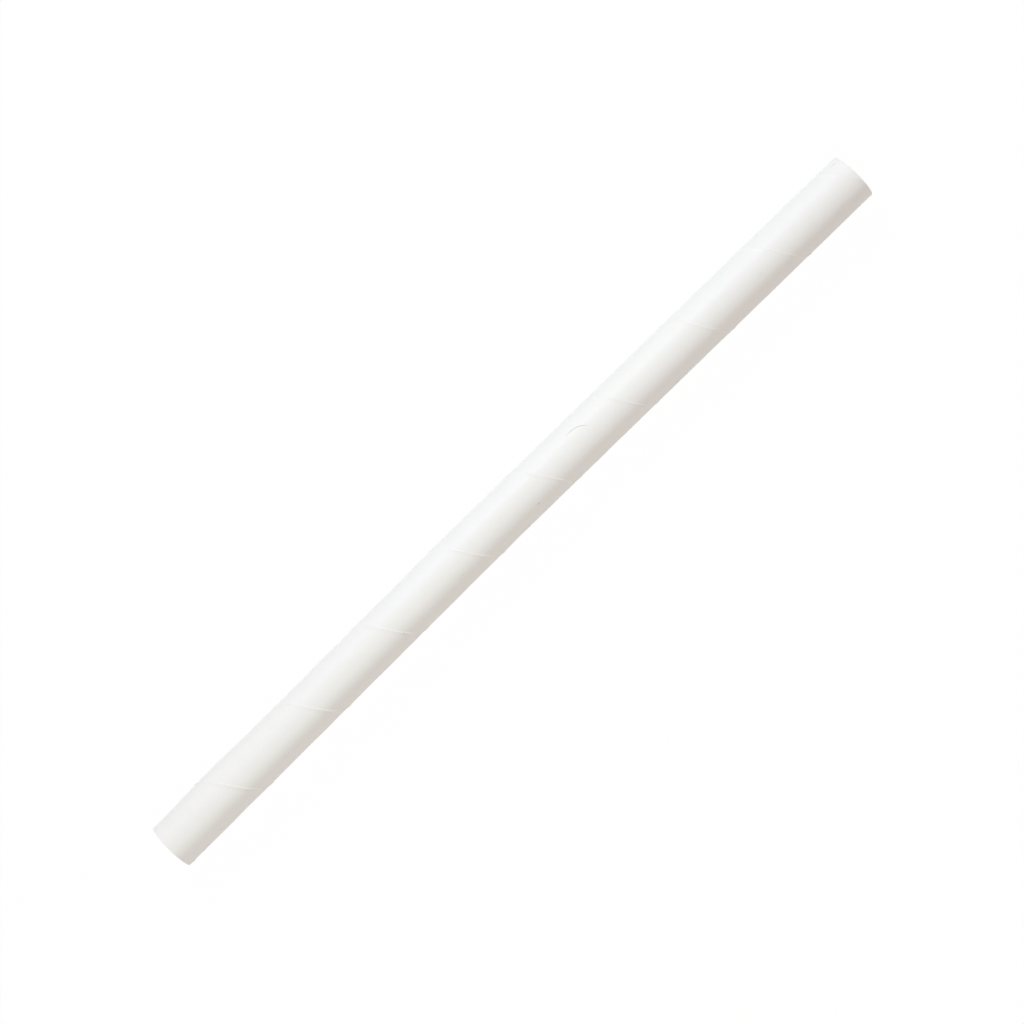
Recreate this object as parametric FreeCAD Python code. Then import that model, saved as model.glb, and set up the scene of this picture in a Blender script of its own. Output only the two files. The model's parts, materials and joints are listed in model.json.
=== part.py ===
"""A drinking straw of spiral-wound paper, lying on its side with its axis along X.

Paper tapes are wound one over another round a mandrel and glued into one tube. The outer tape laps
a little over its own last turn, so its free edge climbs the straw as a right-handed helical ridge:
a gentle rise up to the edge, and then a sharp step down. The straw has been flexed once near its
middle, so it is two straight runs that meet at a slight angle. One end is cut square and the other
a little off square. The soft paper is pressed flat along the line that the straw lies on.
"""

import FreeCAD, Part
import math
import os

from FreeCAD import Placement, Rotation, Vector

# Driving dimensions, in millimetres and degrees
straw_length = 218.5
outer_diameter = 12.0  # over the outer tape, away from its lapped edge
tape_thickness = 0.15
tape_count = 3
outer_tape_width = 21.56
lap_width = 0.9  # of each turn of the outer tape over the turn before, square to its edge
edge_height = 0.06  # of the lapped edge above the rest of the tape, as pressed and glued
edge_softness = 0.12  # width over which the free edge drops, square to it
bend_angle = 0.75
bend_from_middle = -1.8  # along X; the lapped edge crosses the underside there
right_off_square = 1.4  # of the cut at the +X end, which leaves its -Y side the longer
flat_depth = 0.03  # of the flat along the underside

# Sizes that follow from them
outer_radius = outer_diameter / 2
wall = tape_thickness * tape_count
bore_radius = outer_radius - wall
ridge_radius = outer_radius + edge_height
circumference = math.pi * outer_diameter
left_run = straw_length / 2 + bend_from_middle
right_run = straw_length / 2 - bend_from_middle
half_bend = math.radians(bend_angle) / 2

# The part of each turn that stays uncovered sets how steeply the tape climbs
tape_step = outer_tape_width - lap_width
climb = math.asin(tape_step / circumference)
pitch = circumference * math.tan(climb)

# Cutting tools and buried faces reach past what they meet by these
root_depth = wall / 4
overshoot = outer_diameter

# Ends of swept turns that lie within this of each other are one place
same_place = 0.002

X_AXIS = Vector(1, 0, 0)
Y_AXIS = Vector(0, 1, 0)
Z_AXIS = Vector(0, 0, 1)
UNDERSIDE = 180.0


def on_ring(angle, radius):
    """A point in the plane of the bend, at an angle from the top, right-handed about +X."""
    turn = math.radians(angle)
    return Vector(0, -radius * math.sin(turn), radius * math.cos(turn))


def around(width):
    """The angle that a width square to the tape's edge covers round the straw, in degrees."""
    return math.degrees(width / math.sin(climb) / outer_radius)


def ridge_profile():
    """The section of the lapped edge where it crosses the underside, in the plane of the bend."""
    root = outer_radius - root_depth
    rise = around(lap_width)
    # The rise is carried on below the surface at the same slope, so that it leaves it cleanly
    buried = rise * root_depth / edge_height
    foot = on_ring(UNDERSIDE + rise + buried, root)
    middle = on_ring(UNDERSIDE + (rise + buried) / 2, (root + ridge_radius) / 2)
    crest = on_ring(UNDERSIDE, ridge_radius)
    drop = on_ring(UNDERSIDE - around(edge_softness), root)
    rising_face = Part.Arc(foot, middle, crest).toShape()
    edges = [rising_face, Part.makeLine(crest, drop), Part.makeLine(drop, foot)]
    return Part.Wire(edges)


def lapped_edge(run, side, axis):
    """The ridge of one run, as a solid for each turn from the plane of the bend past the end."""
    helix = Part.makeHelix(pitch, pitch, outer_radius)
    helix.rotate(Vector(), Y_AXIS, 90)
    if side < 0:
        helix.rotate(Vector(), Z_AXIS, 180)
    helix.rotate(Vector(), Z_AXIS, math.degrees(-side * half_bend))
    first = Part.Wire(helix.Edges).makePipeShell([ridge_profile()], True, True)
    turns = []
    for number in range(math.ceil(run / pitch) + 1):
        turn = first.copy()
        turn.translate(axis * pitch * number)
        turns.append(turn)
    return turns


def ahead_of(place, direction):
    """All that lies ahead of an upright plane at a place; the direction it faces is level."""
    reach = 2 * straw_length
    block = Part.makeBox(reach, 2 * reach, 2 * reach, Vector(0, -reach, -reach))
    block.rotate(Vector(), Z_AXIS, math.degrees(math.atan2(direction.y, direction.x)))
    block.translate(place)
    return block


def straight_run(run, side, off_square=0):
    """One straight run from the bend to its end; side is 1 towards +X and -1 towards -X."""
    axis = Vector(side * math.cos(half_bend), -math.sin(half_bend), 0)
    behind = axis * -overshoot
    ridge = lapped_edge(run, side, axis)
    blank = overshoot + pitch * len(ridge) + overshoot
    rod = Part.makeCylinder(outer_radius, blank, behind, axis)
    rod = rod.multiFuse(ridge, same_place)
    rod = rod.cut(Part.makeCylinder(bore_radius, blank, behind, axis))

    knife = Rotation(Z_AXIS, off_square).multVec(axis)
    rod = rod.common(ahead_of(Vector(), X_AXIS * side))
    return rod.cut(ahead_of(axis * run, knife))


def laid_down(straw):
    """Puts both ends on one line along X and the middle over the origin, and presses the underside flat."""
    left_end = Vector(-math.cos(half_bend), -math.sin(half_bend), 0) * left_run
    right_end = Vector(math.cos(half_bend), -math.sin(half_bend), 0) * right_run
    chord = right_end - left_end
    lean = Rotation(chord, X_AXIS)
    bow = -lean.multVec(left_end).y
    middle = lean.multVec((left_end + right_end) / 2)
    centre = Vector(middle.x, -bow / 2, flat_depth - outer_radius)
    straw.Placement = Placement(-centre, lean)
    reach = straw_length + overshoot
    below = Part.makeBox(2 * reach, 2 * reach, reach, Vector(-reach, -reach, -reach))
    return straw.cut(below)


def straw_tube():
    left = straight_run(left_run, -1)
    right = straight_run(right_run, 1, right_off_square)
    return laid_down(left.fuse(right, same_place))


os.makedirs("parts", exist_ok=True)
straw = straw_tube()
straw.exportStep("parts/straw_tube.step")
print("pitch", round(pitch, 3), "climb", round(math.degrees(climb), 2))
print("solids", len(straw.Solids), "valid", straw.isValid(), "volume", round(straw.Volume, 1))
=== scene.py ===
# %% [markdown]
# # A spiral-wound paper straw
#
# The object is one drinking straw, wound from white paper tape and lying on its side. The solid
# model already has its size, its slight bend and the lapped edge of its outer tape. Here it gets
# the surface that the eye sees: the soft rise and sharp drop of each lap, the faint line of the
# tape below, the cut ends with their plies, the grain of the paper and its few marks.
#
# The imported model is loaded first, as a fixed frame. Everything after it is in metres, in the same
# frame: +X runs along the straw, +Z is up, the straw bows a little towards +Y, and it lies on the
# plane where Z is 0.

# %% Load the frame
import json
import math

import bmesh
import bpy
import numpy as np
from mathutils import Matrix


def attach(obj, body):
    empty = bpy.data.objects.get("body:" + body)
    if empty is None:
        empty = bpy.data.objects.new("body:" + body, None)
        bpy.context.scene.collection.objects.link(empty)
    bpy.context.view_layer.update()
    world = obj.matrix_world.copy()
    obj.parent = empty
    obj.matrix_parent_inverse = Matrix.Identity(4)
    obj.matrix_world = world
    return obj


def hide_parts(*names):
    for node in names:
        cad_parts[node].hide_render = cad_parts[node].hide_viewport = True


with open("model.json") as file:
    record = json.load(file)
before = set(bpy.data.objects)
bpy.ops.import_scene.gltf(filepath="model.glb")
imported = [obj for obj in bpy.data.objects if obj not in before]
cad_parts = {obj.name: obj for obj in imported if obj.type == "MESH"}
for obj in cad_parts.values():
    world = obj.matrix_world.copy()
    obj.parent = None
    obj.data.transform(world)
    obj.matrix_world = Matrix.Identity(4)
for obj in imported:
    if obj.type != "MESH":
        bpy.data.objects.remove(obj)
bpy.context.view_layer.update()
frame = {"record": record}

MM = 0.001

# %% [markdown]
# ## Sizes of the straw
#
# The mounts in the record hold the straw's true sizes: its outer and bore radii, where each end
# is, and which way each straight run points. The bend is where the two runs meet, so it is found
# by walking back from an end along its run. Nothing is measured from the mesh, because a mesh has
# only chords of each circle.

# %% Read the sizes
mounts = {mount["name"]: mount for mount in frame["record"]["mounts"]}
outside_radius = mounts["right_outside"]["dims"]["r_mm"] * MM
bore_radius = mounts["right_bore"]["dims"]["r_mm"] * MM


def run_of(name):
    """An end's place, its direction outwards, and the length of its straight run."""
    mount = mounts[name]
    place = np.array(mount["pos_m"])
    direction = np.array(mount["axis"])
    return place, direction, mount["dims"]["length_mm"] * MM


right_end, right_way, right_run = run_of("right_outside")
left_end, left_way, left_run = run_of("left_outside")
bend = right_end - right_way * right_run
right_slope = right_way[1] / right_way[0]
left_slope = left_way[1] / left_way[0]
print("runs mm", round(left_run / MM, 2), round(right_run / MM, 2), "bend at", bend.round(5))

# %% [markdown]
# ## How the outer tape is wound
#
# A tape of a given width that climbs round a tube covers the tube once for each turn, apart from
# its lap over the turn before. So the width less the lap, square to the tape's edge, fixes the
# angle of climb, and the angle fixes the pitch. On the real straw the turns draw a little closer
# towards the right end, because the tape creeps on its mandrel. A small term in the square of the
# turn number does that, and it moves the last edges by about a millimetre and a half.

# %% Winding of the outer tape
TAPE_WIDTH = 21.56 * MM
LAP_WIDTH = 0.9 * MM
CREEP = -0.075 * MM  # change in place for each turn number squared
FIRST_EDGE = bend[0] + 0.1 * MM  # where the edge crosses the underside beside the bend

climb = math.asin((TAPE_WIDTH - LAP_WIDTH) / (math.tau * outside_radius))
pitch = math.tau * outside_radius * math.tan(climb)


def turns_at(along):
    """Turns of the tape's edge since it crossed the underside: pitch * n + creep * n^2 = along."""
    gone = along - FIRST_EDGE
    return (np.sqrt(pitch * pitch + 4 * CREEP * gone) - pitch) / (2 * CREEP)


def edge_angle(along):
    """The angle from the top, right-handed about +X, at which the tape's edge lies."""
    return math.pi + math.tau * turns_at(along)


def around(width):
    """The angle round the straw covered by a width square to the tape's edge."""
    return width / math.sin(climb) / outside_radius


print("pitch mm", round(pitch / MM, 3), "climb deg", round(math.degrees(climb), 2))

# %% [markdown]
# ## The axis of the straw
#
# A paper tube that has been flexed once doesn't fold: its wall gives way over a length of about
# its own diameter. Two straight lines joined by a hyperbola do that. Far from the bend the curve
# lies on the lines, and at the bend it is rounded over a chosen length.
#
# The right end was cut a little off square, so the last few millimetres of the mesh are sheared
# by that angle, and the cut stays one flat ring.

# %% Axis
BEND_REACH = 4.0 * MM
RIGHT_OFF_SQUARE = math.radians(1.4)  # leaves the -Y side the longer
SHEAR_REACH = 3.0 * MM
x_left, x_right = left_end[0], right_end[0]
mean_slope = (right_slope + left_slope) / 2
half_kink = (right_slope - left_slope) / 2


def axis_y(x):
    """Y of the hyperbola that has the two runs as its asymptotes."""
    u = x - bend[0]
    return bend[1] + mean_slope * u + half_kink * np.sqrt(u * u + BEND_REACH**2)


def axis_slope(x):
    """Its slope, from the derivative of the line above."""
    u = x - bend[0]
    return mean_slope + half_kink * u / np.sqrt(u * u + BEND_REACH**2)


def on_tube(x, angle, radius):
    """Points at a radius square to the axis, sheared near the right cut and kept above Z = 0."""
    x, angle, radius = np.broadcast_arrays(x, angle, radius)
    slope = axis_slope(x)
    length = np.sqrt(1 + slope * slope)
    aside = -radius * np.sin(angle)
    height = bend[2] + radius * np.cos(angle)
    near_end = np.clip(1 - (x_right - x) / SHEAR_REACH, 0, 1)
    lean = slope / length + math.tan(RIGHT_OFF_SQUARE) * near_end
    return np.stack([x - aside * lean, axis_y(x) + aside / length, height.clip(min=0)], axis=-1)


print("bow mm", round(float(axis_y(bend[0]) - left_end[1]) / MM, 3))

# %% [markdown]
# ## Curves that are used again and again
#
# Three small formulas serve several features. An angle is easiest to compare when it is brought
# between minus half a turn and half a turn. A bell curve makes any soft hump or hollow. And paper
# is never quite true, so a sum of plane waves of many lengths, drawn from a numbered series, gives
# each unevenness that has no pattern.

# %% Common curves
def signed(angle):
    """The same angle, brought between minus half a turn and half a turn."""
    return np.mod(angle + math.pi, math.tau) - math.pi


def bell(offset, reach):
    """A bell curve: 1 in its middle, and e^-1 at its reach."""
    return np.exp(-((offset / reach) ** 2))


def slow_waves(x, angle, seed, longest, shortest, count):
    """Sum of plane waves with whole numbers of waves round the tube; its root mean square is 1."""
    draw = np.random.default_rng(seed)
    total = 0
    for _ in range(count):
        length = math.exp(draw.uniform(math.log(shortest), math.log(longest)))
        across = round(draw.uniform(-1, 1) * math.tau * outside_radius / length)
        phase = draw.uniform(0, math.tau)
        total = total + np.sin(math.tau * x / length + across * angle + phase)
    return total * math.sqrt(2 / count)


print("bell at half its reach", round(float(bell(0.5, 1)), 3))

# %% [markdown]
# ## The tube out of round
#
# Handling has pressed the tube out of round by a tenth of a millimetre or two, mostly near the
# left end. Each such place is a smooth hump or hollow, with a bell curve along the straw and
# another round it. The whole wall moves with it, the bore as much as the outside.

# %% Out of round
# along in mm, its reach along in mm, and height in mm; all on the +Y side
OUT_OF_ROUND = [
    (-108.0, 7.0, -0.16),
    (-90.5, 8.0, 0.18),
    (-68.0, 8.0, -0.09),
    (-18.5, 8.0, 0.10),
    (6.5, 9.0, -0.06),
]
OUT_OF_ROUND_SIDE = math.radians(-90)
OUT_OF_ROUND_REACH = math.radians(38)


def out_of_round(x, angle):
    """Sum of humps, each a bell curve along the straw times a bell curve round it."""
    along_it = sum(high * bell(x - at * MM, reach * MM) for at, reach, high in OUT_OF_ROUND)
    return MM * along_it * bell(signed(angle - OUT_OF_ROUND_SIDE), OUT_OF_ROUND_REACH)


print("places out of round", len(OUT_OF_ROUND))

# %% [markdown]
# ## The outer surface as a formula
#
# A lap could be a second strip of mesh laid on the tube, but its edge would then float or cut in.
# It is better as one surface whose radius is a formula. The formula needs only the angle past the
# tape's edge, so the grid is sheared to follow the winding: each column of points keeps a fixed
# angle from the edge and climbs the straw with it. The crest of the lap is then a line of the
# mesh, and it stays sharp with few points.
#
# A faint hollow follows the edge of the tape below. Slow waves of about a hundredth of a
# millimetre are added, and the edge stands a little higher in one place than in another.

# %% Radius of the outer surface
EDGE_HEIGHT = 0.10 * MM
EDGE_UNEVENNESS = 0.16
EDGE_WAVES = {"seed": 3, "longest": 30 * MM, "shortest": 4 * MM, "count": 7}
LAP_CURVE = 1.7  # above 1, the rise of the lap steepens towards its edge
DROP_WIDTH = 0.19 * MM
GROOVE_TURN = 0.665  # of a turn from an edge to the edge of the tape below it, along the straw
GROOVE_WIDTH = 0.45 * MM
GROOVE_DEPTH = 0.012 * MM
WAVE_HEIGHT = 0.012 * MM
PAPER_WAVES = {"seed": 5, "longest": 24 * MM, "shortest": 5 * MM, "count": 18}

lap_angle = around(LAP_WIDTH)
drop_angle = around(DROP_WIDTH)
groove_angle = math.tau * (1 - GROOVE_TURN)


def lap_profile(past_edge):
    """0 to 1: falls from the edge by a power over the lap, and by a smooth step over the drop."""
    gap = signed(past_edge)
    over = np.clip(1 - gap / lap_angle, 0, 1) ** LAP_CURVE
    down = np.clip(1 + gap / drop_angle, 0, 1)
    down = down * down * (3 - 2 * down)
    return np.where(gap >= 0, over, down)


def outer_radius(x, past_edge):
    """Tube radius, plus the lap, less the groove over the tape below, plus slow waves."""
    angle = past_edge + edge_angle(x)
    uneven = slow_waves(x, 0, **EDGE_WAVES).clip(-1, 1)
    edge = EDGE_HEIGHT * (1 - EDGE_UNEVENNESS * (1 - uneven) / 2) * lap_profile(past_edge)
    groove = GROOVE_DEPTH * bell(past_edge - groove_angle, around(GROOVE_WIDTH / 2))
    waves = WAVE_HEIGHT * slow_waves(x, angle, **PAPER_WAVES)
    return outside_radius + edge - groove + waves + out_of_round(x, angle)


print("lap deg", round(math.degrees(lap_angle), 1), "drop deg", round(math.degrees(drop_angle), 1))

# %% [markdown]
# In the bore the innermost tape shows. Its turns are wound edge to edge rather than lapped, and a
# hair of a gap is left between them, which climbs the bore in the same way as the edge outside.

# %% Radius of the bore
GAP_TURN = 0.33  # of a turn from an outer edge to the gap of the innermost tape, along the straw
GAP_WIDTH = 0.3 * MM
GAP_DEPTH = 0.08 * MM
gap_angle = math.tau * (1 - GAP_TURN)


def inner_radius(x, past_edge):
    """Bore radius, plus the gap between the turns of the innermost tape, plus out-of-round."""
    off_gap = np.clip(np.abs(past_edge - gap_angle) / around(GAP_WIDTH / 2), 0, 1)
    gap = GAP_DEPTH * (1 - off_gap * off_gap) ** 2
    return bore_radius + gap + out_of_round(x, past_edge + edge_angle(x))


print("wall at the gap mm", round((outside_radius - bore_radius - GAP_DEPTH) / MM, 3))

# %% [markdown]
# ## Columns round the straw
#
# The points of a ring crowd together at the lap's edge, the groove and the gap, and spread out
# elsewhere. Near each feature they are placed by shares of its own width, so that they follow it
# when its width changes.

# %% Columns
PLAIN_STEP = math.radians(3.6)
DROP_SHARES = np.array([-2.0, -1.3, -1.0, -0.8, -0.6, -0.4, -0.2, -0.06, 0.0])
LAP_SHARES = np.array([0.03, 0.12, 0.28, 0.46, 0.64, 0.8, 0.92, 1.0, 1.1])
GROOVE_SHARES = np.array([-1.2, -0.8, -0.5, -0.25, 0, 0.25, 0.5, 0.8, 1.2])
GAP_SHARES = np.array([-1.0, -0.6, -0.3, 0, 0.3, 0.6, 1.0])


def spread(low, high):
    """Angles between two others, in even steps of PLAIN_STEP or less, without those two."""
    steps = math.ceil((high - low) / PLAIN_STEP)
    return np.linspace(low, high, steps + 1)[1:-1]


def column_angles():
    """Angles past the tape's edge: close together on the lap, the drop, the groove and the gap."""
    drop = drop_angle * DROP_SHARES
    lap = lap_angle * LAP_SHARES
    groove = groove_angle + around(GROOVE_WIDTH) * GROOVE_SHARES
    gap = gap_angle + around(GAP_WIDTH / 2) * GAP_SHARES
    to_groove = spread(lap[-1], groove[0])
    to_gap = spread(groove[-1], gap[0])
    to_drop = spread(gap[-1], math.tau + drop[0])
    return np.concatenate([drop, lap, to_groove, groove, to_gap, gap, to_drop])


columns = column_angles()
print("points in a ring", len(columns))

# %% [markdown]
# ## The cut ends
#
# A rotary knife cuts the straw. From a step away the end is a white ring, and close to it the three
# plies show as bands with a hair-fine line of glue between them. The ring is a row of circles from
# the outer edge to the bore: they are set back at both edges, where the knife rounds the paper by a
# hair, and at each glue line.

# %% Profile of a cut end
PLIES = 3
EDGE_CRUSH = 0.02 * MM
GLUE_SINK = 0.025 * MM
GLUE_REACH = 0.035  # share of the wall to each side of a line of glue
FLAT_CIRCLES = [0.1, 0.2]  # shares of the wall from the outer edge
ROUNDED_CIRCLES = [(0.0, 1.0), (0.015, 0.4), (0.045, 0.05)]  # from either edge, and share of crush


def end_profile():
    """Depth through the wall from 0 to 1, how far each circle is set back, and glue lines."""
    circles = [(share, 0, 0) for share in FLAT_CIRCLES]
    for share, crush in ROUNDED_CIRCLES:
        circles += [(share, crush * EDGE_CRUSH, 0), (1 - share, crush * EDGE_CRUSH, 0)]
    for ply in range(1, PLIES):
        line = ply / PLIES
        circles += [(line - GLUE_REACH, 0, 0), (line, GLUE_SINK, 1), (line + GLUE_REACH, 0, 0)]
        circles.append((line + 0.5 / PLIES, 0, 0))
    return np.array(sorted(circles)).T


depth, back, glue = end_profile()
print("circles on a cut end", len(depth), "glue lines", int(glue.sum()))

# %% [markdown]
# The knife also leaves the cut a little rough, so each point is moved along the straw by a few
# thousandths of a millimetre. The waves that do it run through the wall as well as round it.

# %% Rings over a cut end
FRAY = 0.004 * MM
FRAY_STRETCH = 9  # how much closer together the waves run through the wall than round it
FRAY_WAVES = {"seed": 11, "longest": 3 * MM, "shortest": 0.6 * MM, "count": 9}


def end_rings(x_end, outwards):
    """Circles over one end, from the outer edge in to the bore, by shares of the wall's depth."""
    x = np.full_like(columns, x_end)
    angle = columns + edge_angle(x)
    outer = outer_radius(x, columns)
    radius = outer + (inner_radius(x, columns) - outer) * depth[:, None]
    fray = FRAY * slow_waves(radius * FRAY_STRETCH, angle, **FRAY_WAVES)
    return on_tube(x - outwards * (back[:, None] - fray), angle, radius)


print("points on a cut end", end_rings(x_right, 1).shape[:2])

# %% [markdown]
# ## Rings along the wall
#
# The outer rings are half a millimetre apart, because the sheared columns cut across the curve of
# the tube and longer steps would flatten it. The bore, which is seen only from its ends, has rings
# twice as far apart. A ring very close to each rim keeps the smooth shading of the wall from
# running over the edge of the cut.

# %% Places of the rings
OUTER_STEP = 0.52 * MM
BORE_STEP = 1.04 * MM
RIM_GUARD = 0.04 * MM


def wall_places(step):
    """Places of the rings along the straw: evenly spaced, with one more close to each rim."""
    low, high = x_left + EDGE_CRUSH, x_right - EDGE_CRUSH
    inside = np.linspace(low + RIM_GUARD, high - RIM_GUARD, math.ceil((high - low) / step) + 1)
    return np.r_[low, inside, high][:, None]


def wall_rings(x, radius_at):
    """Rings at places along the straw, with the radius from one of the formulas above."""
    return on_tube(x, columns + edge_angle(x), radius_at(x, columns))


print("rings outside", len(wall_places(OUTER_STEP)), "in the bore", len(wall_places(BORE_STEP)))

# %% [markdown]
# ## One closed mesh
#
# The whole straw is one closed sheet of paper wall, so its mesh is one closed loop of rings: along
# the outside, in over the cut end, back through the bore, and out over the other end. Each ring
# has the same number of points, and the last ring joins the first. There is no cap to sew on, and
# no seam can open.

# %% Build the straw
def loop_faces(rings, across):
    """Quads of a grid that closes both ways, wound to face outwards."""
    i, j = np.meshgrid(np.arange(rings), np.arange(across), indexing="ij")
    here, right = i * across + j, i * across + (j + 1) % across
    ahead, over = (i + 1) % rings * across + j, (i + 1) % rings * across + (j + 1) % across
    return np.stack([here, right, over, ahead], axis=-1).reshape(-1, 4)


outside = wall_rings(wall_places(OUTER_STEP), outer_radius)
right_cut = end_rings(x_right, 1)[1:]
bore = wall_rings(wall_places(BORE_STEP)[::-1][1:-1], inner_radius)
left_cut = end_rings(x_left, -1)[::-1][:-1]
rings = np.concatenate([outside, right_cut, bore, left_cut])

faces = loop_faces(len(rings), len(columns))
paper_mesh = bpy.data.meshes.new("straw_paper")
paper_mesh.from_pydata(rings.reshape(-1, 3), [], faces)
paper_mesh.polygons.foreach_set("use_smooth", np.ones(len(faces), bool))
paper_mesh.update()
straw = bpy.data.objects.new("straw_paper", paper_mesh)
bpy.context.collection.objects.link(straw)
print("rings", len(rings), "faces", len(faces))

# %% [markdown]
# ## Masks for the material
#
# The material has to know where the cut ends, their glue lines and the free edge of the outer tape
# are; the free edge is the drop beside each lap. It could work that out again from the formulas,
# but the rings and columns already say it, so three masks are kept in the mesh as attributes.

# %% Keep the masks
def keep_mask(name, values):
    """Keeps a number from 0 to 1 for every point of the mesh."""
    attribute = paper_mesh.attributes.new(name, "FLOAT", "POINT")
    attribute.data.foreach_set("value", np.asarray(values, float).ravel())


is_cut = np.repeat([0, 1, 0, 1], [len(outside), len(right_cut), len(bore), len(left_cut)])
is_glue = np.zeros(len(rings))
is_glue[is_cut == 1] = np.r_[glue[1:], glue[::-1][:-1]]
keep_mask("cut_end", np.repeat(is_cut, len(columns)))
keep_mask("glue_line", np.repeat(is_glue, len(columns)))

on_drop = (columns >= -drop_angle) & (columns <= 0)
is_outside = np.arange(len(rings)) < len(outside)
keep_mask("free_edge", is_outside[:, None] & on_drop)
print("rings on the cuts", int(is_cut.sum()), "columns on the free edge", int(on_drop.sum()))

# %% [markdown]
# ## The crescent
#
# A fingernail has left a shallow crescent on this straw. It is a piece of a circle drawn on the
# unrolled paper: the distance to the circle gives a V whose sides ease into the paper, and the
# distance from the middle of the arc thins it out towards both tips.

# %% The groove of the crescent
CRESCENT_CENTRE = (21.87 * MM, 1.51 * MM)  # along the straw, and round it from the top
CRESCENT_RADIUS = 4.97 * MM
CRESCENT_MIDDLE = math.radians(-77)
CRESCENT_HALF = math.radians(51)
CRESCENT_TAPER = 0.7  # share of each half over which it thins out
CRESCENT_WIDTH = 0.14 * MM  # from its floor to each side
CRESCENT_DEPTH = 0.03 * MM
CRESCENT_EASE = 1.5  # 1 gives straight sides, and more eases them into the paper


def crescent_at(x, angle):
    """Distance to the circle, distance from the arc's middle in halves, and depth of the groove."""
    dx = x - CRESCENT_CENTRE[0]
    dy = angle * outside_radius - CRESCENT_CENTRE[1]
    off_line = np.abs(np.hypot(dx, dy) - CRESCENT_RADIUS)
    off_middle = np.abs(np.arctan2(dy, dx) - CRESCENT_MIDDLE) / CRESCENT_HALF
    across = np.clip(1 - off_line / CRESCENT_WIDTH, 0, 1)
    taper = np.clip((1 - off_middle) / CRESCENT_TAPER, 0, 1)
    return off_line, off_middle, CRESCENT_DEPTH * across**CRESCENT_EASE * taper


print("crescent mm long", round(2 * CRESCENT_HALF * CRESCENT_RADIUS / MM, 1))

# %% [markdown]
# The formula needs a point's place along and round the straw, so the way from place to point is
# turned back. Off the last few millimetres, where the mesh is sheared, that is exact enough.

# %% From a point back to its place
mid_wall = (outside_radius + bore_radius) / 2


def place_on_tube(points):
    """The way back from on_tube: place along the straw, angle from the top and radius."""
    x = points[:, 0]
    aside = (points[:, 1] - axis_y(x)) * np.sqrt(1 + axis_slope(x) ** 2)
    up = points[:, 2] - bend[2]
    x = x + aside * axis_slope(x)
    return x, np.arctan2(-aside, up), np.hypot(aside, up)


def near_crescent(points, tips, beside):
    """Which points are outside the wall's middle, within a share of the arc and a distance of it."""
    x, angle, radius = place_on_tube(points)
    off_line, off_middle, _ = crescent_at(x, angle)
    return (radius > mid_wall) & (off_middle < tips) & (off_line < CRESCENT_WIDTH + beside)


there = on_tube(CRESCENT_CENTRE[0], CRESCENT_MIDDLE, outside_radius)[None]
missed = np.hypot(place_on_tube(there)[0] - CRESCENT_CENTRE[0], place_on_tube(there)[2] - outside_radius)
print("there and back, out by mm", (missed / MM).round(6))

# %% [markdown]
# The groove is narrower than one face of the mesh, so the few faces under it are cut into small
# ones first.

# %% Cut the faces finer
FINE_CUTS = 7
FINE_TIPS = 1.1

centres = np.zeros(len(paper_mesh.polygons) * 3)
paper_mesh.polygons.foreach_get("center", centres)
under = np.flatnonzero(near_crescent(centres.reshape(-1, 3), FINE_TIPS, OUTER_STEP))

fine = bmesh.new()
fine.from_mesh(paper_mesh)
fine.faces.ensure_lookup_table()
fine.edges.ensure_lookup_table()
edge_numbers = sorted({edge.index for face in under for edge in fine.faces[face].edges})
chosen = [fine.edges[number] for number in edge_numbers]
bmesh.ops.subdivide_edges(fine, edges=chosen, cuts=FINE_CUTS, use_grid_fill=True)
fine.to_mesh(paper_mesh)
fine.free()
print("faces under the crescent", len(under), "points now", len(paper_mesh.vertices))

# %% [markdown]
# Cutting a face leaves the new points on its flat. So every point near the crescent is put back on
# the formula of the outer surface, less the groove.

# %% Press the groove
MOVED_TIPS = 1.3
MOVED_BESIDE = 3 * OUTER_STEP

points = np.zeros(len(paper_mesh.vertices) * 3)
paper_mesh.vertices.foreach_get("co", points)
points = points.reshape(-1, 3)
near = near_crescent(points, MOVED_TIPS, MOVED_BESIDE)
x, angle, _ = place_on_tube(points[near])
past_edge = np.mod(angle - edge_angle(x), math.tau)
pressed = crescent_at(x, angle)[2]
points[near] = on_tube(x, angle, outer_radius(x, past_edge) - pressed)
paper_mesh.vertices.foreach_set("co", points.ravel())
paper_mesh.update()
print("points moved", int(near.sum()), "deepest mm", round(float(pressed.max()) / MM, 3))

# %% [markdown]
# ## Shader maths as formulas
#
# A material's pattern is a formula of the place on the surface. Written as nodes one by one it is
# hard to read, so a small class wraps a node's output and gives it arithmetic: each operator adds
# the Math node that does it.

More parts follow.
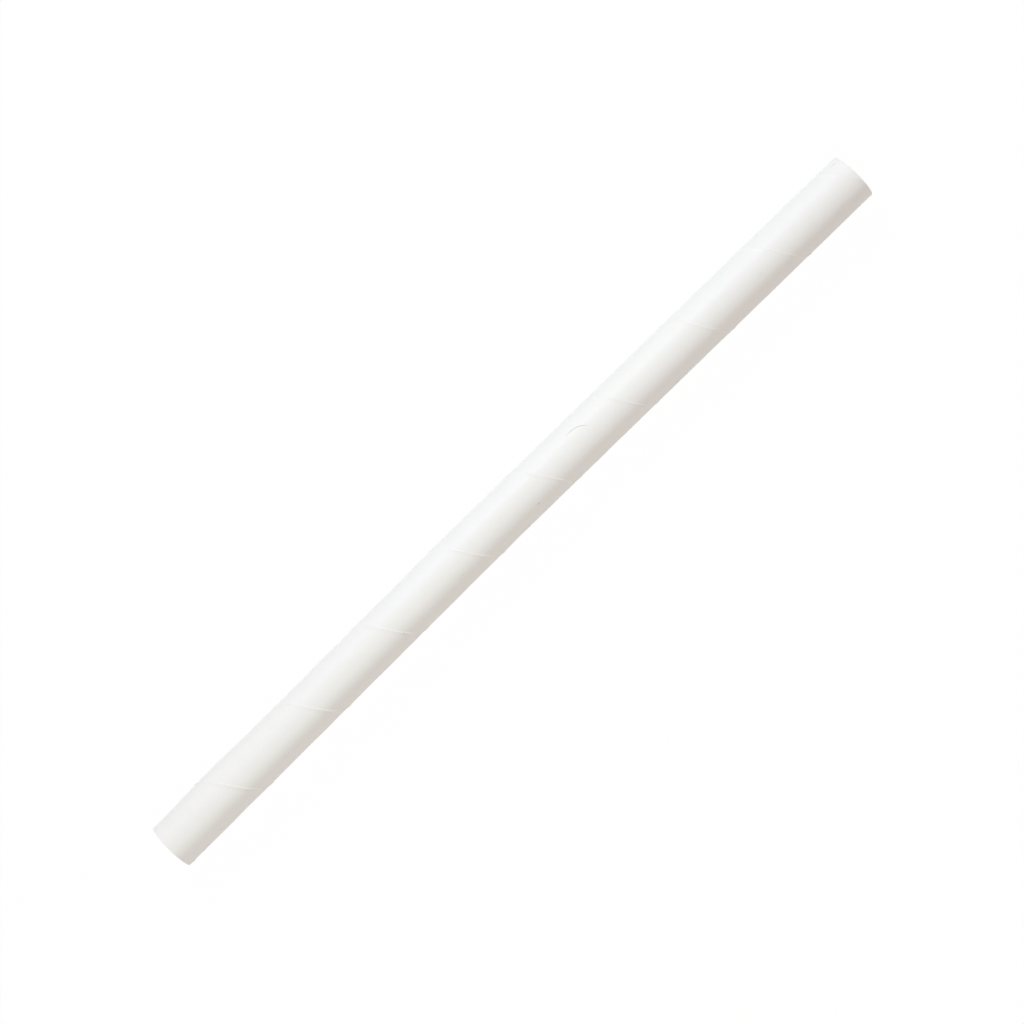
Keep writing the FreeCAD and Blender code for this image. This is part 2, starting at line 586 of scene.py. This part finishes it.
# %% A socket that does arithmetic
class Reading:
    """One output of a node. Arithmetic on it adds Math nodes and gives a new reading."""

    def __init__(self, tree, socket=None):
        self.tree = tree
        self.socket = socket

    def node(self, kind, settings=(), sockets=(), out=0):
        """Adds a node: its settings are set first, then the values or links of its sockets."""
        made = self.tree.nodes.new(kind)
        for name, value in dict(settings).items():
            setattr(made, name, value)
        for name, value in dict(sockets).items():
            if isinstance(value, Reading):
                self.tree.links.new(value.socket, made.inputs[name])
            else:
                made.inputs[name].default_value = value
        return Reading(self.tree, made.outputs[out] if len(made.outputs) else None)

    def output(self, name):
        """Another output of the same node."""
        return Reading(self.tree, self.socket.node.outputs[name])

    def math(self, operation, first, second=0.0):
        """A Math node on readings or numbers."""
        return self.node("ShaderNodeMath", {"operation": operation}, {0: first, 1: second})

    def __add__(self, other):
        return self.math("ADD", self, other)

    def __radd__(self, other):
        return self.math("ADD", other, self)

    def __sub__(self, other):
        return self.math("SUBTRACT", self, other)

    def __rsub__(self, other):
        return self.math("SUBTRACT", other, self)

    def __mul__(self, other):
        return self.math("MULTIPLY", self, other)

    def __rmul__(self, other):
        return self.math("MULTIPLY", other, self)

    def __truediv__(self, other):
        return self.math("DIVIDE", self, other)

    def ramp(self, low, high):
        """A smooth step from 0 to 1 as this reading goes from low to high."""
        sockets = {"Value": self, "From Min": low, "From Max": high}
        return self.node("ShaderNodeMapRange", {"interpolation_type": "SMOOTHSTEP"}, sockets)

    def noise(self, size, detail, stretch=(1, 1, 1), roughness=0.55):
        """Smooth noise about a half, with grains of a size in metres along each axis."""
        grains = [size * share for share in stretch]
        scaled = self.node("ShaderNodeVectorMath", {"operation": "DIVIDE"}, {0: self, 1: grains})
        sockets = {"Vector": scaled, "Scale": 1.0, "Detail": detail, "Roughness": roughness}
        return self.node("ShaderNodeTexNoise", {}, sockets)

    def mix_colour(self, low, high):
        """A colour between two, by this reading."""
        return self.node("ShaderNodeMix", {"data_type": "RGBA"}, {0: self, 6: low, 7: high}, out=2)


# %% [markdown]
# ## The paper
#
# Uncoated straw paper is white with a trace of cream, and quite matte. Held close it is cloudy:
# its fibres lie thicker in some places than in others, at about half a millimetre, and single
# fibres show as short faint strokes. That changes the colour by about one part in a hundred. The
# same grain lifts the surface a little, so it shows best where the light rakes it.

# %% Grain of the paper
CLOUD_SIZE = 2.6 * MM
GRAIN_SIZE = 0.55 * MM
FIBRE_SIZE = 0.16 * MM
ALONG_FIBRES = (5, 1, 1)
CROSS_FIBRES = (1.4, 4, 4)

paper = bpy.data.materials.new("uncoated_white_paper")
paper.use_nodes = True
tree = paper.node_tree
tree.nodes.clear()
place = Reading(tree).node("ShaderNodeTexCoord", out="Object")

clouds = place.noise(CLOUD_SIZE, 2.0)
grain = place.noise(GRAIN_SIZE, 3.0)
fibres = place.noise(FIBRE_SIZE, 2.0, ALONG_FIBRES) + place.noise(FIBRE_SIZE, 2.0, CROSS_FIBRES)
print("paper nodes so far", len(tree.nodes))

# %% [markdown]
# ## Where a point is on the tube
#
# The marks on the paper are placed by how far along the straw they are and how far round it. The
# material works both out from the point itself: the angle from the top is an arctangent. The
# slight bend moves the axis by less than half a millimetre, which is left out here.

# %% Place along and round the straw
along = place.node("ShaderNodeSeparateXYZ", {}, {0: place}, out="X")
aside = along.output("Y")
up = along.output("Z") - float(bend[2])
round_it = place.math("ARCTAN2", aside * -1.0, up) * outside_radius
print("nodes with the place", len(tree.nodes))

# %% [markdown]
# ## The painted shade of the crescent
#
# The paper along the floor of the crescent is painted darker and tan. This painted shade stands in for
# the shade in its groove. The material finds the same circle as the groove does, and a slightly shorter
# piece of it.

# %% The painted shade along the crescent
CREASE_SHADE_MIDDLE = math.radians(-70)
CREASE_SHADE_HALF = math.radians(43)
CREASE_SHADE_FULL = 0.25  # share of each half that takes the painted shade in full


def distance(first, second):
    """The length of a vector of two readings."""
    squares = first * first + second * second
    return squares.math("SQRT", squares)


from_centre = along - CRESCENT_CENTRE[0], round_it - CRESCENT_CENTRE[1]
off_line = place.math("ABSOLUTE", distance(*from_centre) - CRESCENT_RADIUS)
bearing = place.math("ARCTAN2", from_centre[1], from_centre[0])
off_middle = place.math("ABSOLUTE", bearing - CREASE_SHADE_MIDDLE)
# painted shade: darker along the crescent's circle, fading out towards its tips
crease_shade = off_line.ramp(CRESCENT_WIDTH, 0.0) * off_middle.ramp(CREASE_SHADE_HALF, CREASE_SHADE_HALF * CREASE_SHADE_FULL)
print("nodes with the bruise", len(tree.nodes))

# %% [markdown]
# ## Specks
#
# There are a few specks of bark in the pulp. Each is a small soft oval, with its place, its size,
# how long it is for its width, and how dark it is.

# %% Specks in the pulp
# along in mm, round in degrees from the top, size across in mm, length over width, darkness
SPECKS = [
    (-37.0, 29.0, 0.30, 1.3, 0.38),
    (-18.1, 27.7, 0.34, 4.5, 0.10),
    (5.5, 34.6, 0.24, 2.8, 0.42),
    (78.0, 13.1, 0.26, 1.5, 0.16),
    (101.9, 35.1, 0.22, 1.0, 0.30),
    (-75.8, 40.6, 0.28, 1.6, 0.18),
    (30.6, -30.5, 0.24, 1.4, 0.14),
    (28.8, -23.4, 0.22, 1.2, 0.14),
    (25.7, -58.2, 0.26, 1.8, 0.12),
    (107.6, -53.7, 0.26, 2.6, 0.16),
]
SPECK_RIM = 0.75  # of its size, where it fades out
SPECK_CORE = 0.2  # of its size, inside which it is darkest


def speck(along_mm, degrees, size, length, dark):
    """A soft oval: a smooth step of the stretched distance to its middle, times its darkness."""
    dx = (along - along_mm * MM) / length
    dy = round_it - math.radians(degrees) * outside_radius
    return distance(dx, dy).ramp(size * MM * SPECK_RIM, size * MM * SPECK_CORE) * dark


specks = speck(*SPECKS[0])
for spot in SPECKS[1:]:
    specks = specks + speck(*spot)
print("specks", len(SPECKS))

# %% [markdown]
# ## The colour of the paper
#
# The colour goes from the plain paper to each darker thing in turn: the cloudiness, the cut ends
# and their glue, the painted shade in the crescent, and the specks. Only the drop at the free edge of
# the tape is whiter. It is a painted highlight along the lapped edge's drop.

# %% Colours
PAPER_WHITE = (0.893, 0.889, 0.878, 1)
PAPER_SHADE = (0.850, 0.840, 0.820, 1)
CUT_CREAM = (0.86, 0.845, 0.81, 1)
GLUE_GREY = (0.66, 0.64, 0.60, 1)
# painted highlight: a little whiter than the paper, along the drop of each lap's free edge
FREE_EDGE_HIGHLIGHT = (0.897, 0.892, 0.881, 1)
# painted shade: the tan along the crescent's floor stands in for the shade of its groove
CREASE_SHADE_TAN = (0.50, 0.40, 0.30, 1)
SPECK_BROWN = (0.33, 0.27, 0.22, 1)
CLOUD_PART, GRAIN_PART, FIBRE_PART = 0.5, 0.9, 0.35  # of each in the cloudiness
CLEAREST, CLOUDIEST = 0.75, 1.35
CLOUDINESS, CUT_SHARE, GLUE_SHARE, CREASE_SHADE_SHARE = 0.32, 0.7, 0.8, 0.78


def mask(name):
    """A mask kept in the mesh."""
    return place.node("ShaderNodeAttribute", {"attribute_name": name}, out="Fac")


cloudy = clouds * CLOUD_PART + grain * GRAIN_PART + fibres * FIBRE_PART
shade = cloudy.ramp(CLEAREST, CLOUDIEST)
colour = (shade * CLOUDINESS).mix_colour(PAPER_WHITE, PAPER_SHADE)
colour = (mask("cut_end") * CUT_SHARE).mix_colour(colour, CUT_CREAM)
colour = (mask("glue_line") * GLUE_SHARE).mix_colour(colour, GLUE_GREY)
# painted highlight along the drop of the free edge
colour = mask("free_edge").mix_colour(colour, FREE_EDGE_HIGHLIGHT)
# painted shade of the crescent's groove
colour = (crease_shade * CREASE_SHADE_SHARE).mix_colour(colour, CREASE_SHADE_TAN)
colour = specks.mix_colour(colour, SPECK_BROWN)
print("nodes with the colour", len(tree.nodes))

# %% [markdown]
# ## The finish of the paper
#
# All the fine relief goes into one height in metres, and a Bump node turns it into a change of the
# surface's direction. The paper has only a weak and broad sheen, a little uneven with its grain.

# %% Relief and sheen
GRAIN_HEIGHT = 0.010 * MM
FIBRE_HEIGHT = 0.006 * MM
ROUGHNESS, ROUGHNESS_RANGE = 0.40, 0.12
SHEEN_LEVEL = 0.18

height = grain * GRAIN_HEIGHT + fibres * FIBRE_HEIGHT
relief = place.node("ShaderNodeBump", {}, {"Height": height, "Strength": 1.0, "Distance": 1.0})
surface = place.node("ShaderNodeBsdfPrincipled", {}, {
    "Base Color": colour,
    "Roughness": ROUGHNESS + grain * ROUGHNESS_RANGE,
    "Normal": relief,
    "Specular IOR Level": SHEEN_LEVEL,
})
place.node("ShaderNodeOutputMaterial", {}, {"Surface": surface})
straw.data.materials.append(paper)
print("paper nodes", len(tree.nodes))

# %% [markdown]
# ## Joining the frame
#
# The new surface stands for the solid straw, which stays underneath for its weight and its shape
# in the simulation. It rides on the one body that the model has.

# %% Hand the straw over
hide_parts("straw_tube")
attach(straw, "root")
print("handed over", straw.name)

# %% [markdown]
# ## Floor
#
# The straw lies on plain white. A floor lit to pure white would take so much light that the
# straw's bright side would burn out, so the floor is an ordinary pale one for the light that falls
# on it, and mostly a white glow for the eye. What is left of the ordinary floor keeps a trace of
# the soft shadow that seats the straw.

# %% Floor
FLOOR_SIZE = 6.0
FLOOR_COLOUR = (0.86, 0.85, 0.83, 1)
FLOOR_GLOW = 0.99
PURE_WHITE = (1, 1, 1, 1)


def seen_directly(tree):
    """1 for rays to the eye, and for those that reach it by a reflection or through glass."""
    eye = Reading(tree).node("ShaderNodeLightPath", out="Is Camera Ray")
    seen = eye.math("MAXIMUM", eye, eye.output("Is Glossy Ray"))
    return eye.math("MAXIMUM", seen, eye.output("Is Transmission Ray"))


half = FLOOR_SIZE / 2
corners = [(-half, -half, 0), (half, -half, 0), (half, half, 0), (-half, half, 0)]
floor_mesh = bpy.data.meshes.new("floor")
floor_mesh.from_pydata(corners, [], [(0, 1, 2, 3)])
floor = bpy.data.objects.new("floor", floor_mesh)
bpy.context.collection.objects.link(floor)

pale = bpy.data.materials.new("pale_floor")
pale.use_nodes = True
pale.node_tree.nodes.clear()
seen = seen_directly(pale.node_tree)
matte = seen.node("ShaderNodeBsdfDiffuse", {}, {"Color": FLOOR_COLOUR})
glow = seen.node("ShaderNodeEmission", {}, {"Color": PURE_WHITE, "Strength": 1.0})
blend = seen.node("ShaderNodeMixShader", {}, {0: seen * FLOOR_GLOW, 1: matte, 2: glow})
seen.node("ShaderNodeOutputMaterial", {}, {"Surface": blend})
floor_mesh.materials.append(pale)
print("floor m", FLOOR_SIZE)

# %% [markdown]
# ## Light
#
# The light has three parts. A warm even sky fills every side. To the eye it is plain white, like
# the floor.

# %% Sky
SKY_COLOUR = (1.0, 0.813, 0.761, 1)
SKY_STRENGTH = 0.44

world = bpy.data.worlds.new("studio")
world.use_nodes = True
world.node_tree.nodes.clear()
seen = seen_directly(world.node_tree)
fill = seen.node("ShaderNodeBackground", {}, {"Color": SKY_COLOUR, "Strength": SKY_STRENGTH})
backdrop = seen.node("ShaderNodeBackground", {}, {"Color": PURE_WHITE, "Strength": 1.0})
both = seen.node("ShaderNodeMixShader", {}, {0: seen, 1: fill, 2: backdrop})
seen.node("ShaderNodeOutputWorld", {}, {"Surface": both})
bpy.context.scene.world = world
print("sky strength", SKY_STRENGTH)

# %% [markdown]
# A cool lamp stands on the +Y side, so the straw is brightest a third of the way down that side. A
# weaker lamp on the other side keeps the top bright, and leaves a soft shade below it, where the
# warm sky makes the paper look brown. Both lamps are near enough for their light to change a
# little from one end of the straw to the other.

# %% Lamps
def soft_lamp(name, colour, watts, lean, spread, away, along):
    """A round lamp that faces the straw's axis, leaning from straight up, at a place along X."""
    data = bpy.data.lights.new(name, "AREA")
    data.shape = "DISK"
    data.size = 2 * away * math.tan(spread / 2)
    data.color = colour
    data.energy = watts
    lamp = bpy.data.objects.new(name, data)
    lamp.location = (along, -away * math.sin(lean), away * math.cos(lean))
    lamp.rotation_euler = (lean, 0, 0)
    lamp.visible_camera = False
    bpy.context.collection.objects.link(lamp)
    print(name, "at", [round(v, 3) for v in lamp.location])


# lean is from straight up, with minus towards +Y; spread is how wide the lamp looks from the straw
soft_lamp("key_lamp", colour=(0.802, 0.932, 1.0), watts=2.06, lean=math.radians(-50),
          spread=math.radians(12), away=0.60, along=0.06)
soft_lamp("fill_lamp", colour=(0.884, 1.0, 0.938), watts=1.51, lean=math.radians(25),
          spread=math.radians(12), away=0.72, along=-0.15)

# %% [markdown]
# ## Camera
#
# The camera looks straight down, as in the photograph. There the straw's middle is near the middle
# of the picture, its right end points to the upper right, and one millimetre at its axis covers a
# little over four pixels. How far away the camera stands shows in the ends: the nearer it is, the
# more of a curve each round rim makes, and here that puts it at two thirds of a metre.

# %% Camera
PICTURE = 1024
STRAW_MIDDLE = (511.32, 510.03)
STRAW_TILT = math.radians(44.51)  # of +X above the picture's horizontal
PIXELS_PER_MM = 4.3745
LENS_PIXELS = 2931.0
SENSOR_WIDTH = 36.0

camera_data = bpy.data.cameras.new("camera")
camera_data.sensor_width = SENSOR_WIDTH
camera_data.lens = SENSOR_WIDTH * LENS_PIXELS / PICTURE
camera = bpy.data.objects.new("camera", camera_data)
distance_away = LENS_PIXELS / PIXELS_PER_MM * MM
right = np.array([math.cos(STRAW_TILT), -math.sin(STRAW_TILT)])
upward = np.array([math.sin(STRAW_TILT), math.cos(STRAW_TILT)])
off_right = (PICTURE / 2 - STRAW_MIDDLE[0]) / PIXELS_PER_MM * MM
off_up = (STRAW_MIDDLE[1] - PICTURE / 2) / PIXELS_PER_MM * MM
over = right * off_right + upward * off_up
camera.location = (over[0], over[1], float(bend[2]) + distance_away)
camera.rotation_euler = (0, 0, -STRAW_TILT)
bpy.context.collection.objects.link(camera)
bpy.context.scene.camera = camera
bpy.context.scene.view_settings.view_transform = "Standard"
print("camera", [round(v, 4) for v in camera.location])
